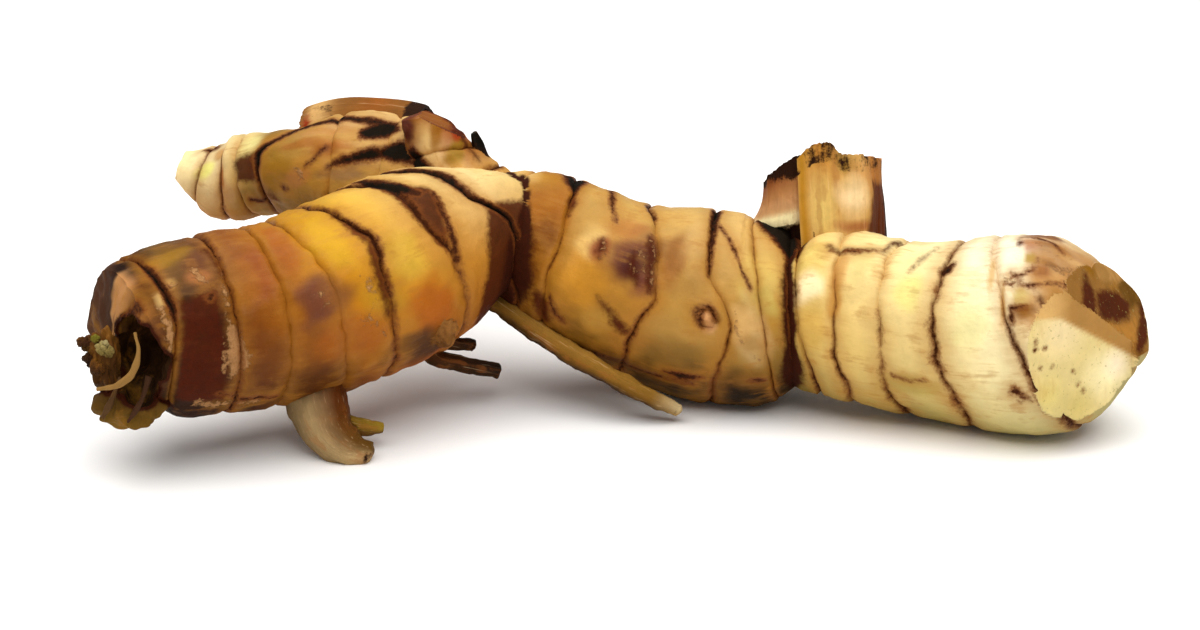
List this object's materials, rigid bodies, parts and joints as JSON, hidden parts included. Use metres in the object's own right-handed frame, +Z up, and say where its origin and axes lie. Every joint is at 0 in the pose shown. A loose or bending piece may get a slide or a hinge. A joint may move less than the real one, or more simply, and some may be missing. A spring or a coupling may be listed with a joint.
{
  "type": "galangal rhizome",
  "caption": "Whole fresh galangal rhizome lying on a table: forked ringed limbs, a thin finger, cut shoot stubs with dry sheaths, and short roots.",
  "frame": {"origin": "on the table, under the middle of the footprint", "axes": "+X along the rhizome to its fresh pale end, +Z up, -Y to the side that the picture shows"},
  "size_m": [0.1818, 0.08, 0.0492],
  "materials": {
    "rhizome_skin": "semi-gloss waxy skin",
    "dry_leaf": "matt dry leaf",
    "root_bark": "matt bark"
  },
  "bodies": {
    "root": {"rhizome": "rhizome_skin", "right_shoot_stem": "dry_leaf", "right_shoot_inner_sheath": "dry_leaf", "right_shoot_outer_sheath": "dry_leaf", "rear_scale_leaf": "dry_leaf", "long_root": "root_bark", "front_root": "root_bark", "rear_root": "root_bark", "upper_rootlet": "root_bark", "lower_rootlet": "root_bark"}
  },
  "joints": []
}
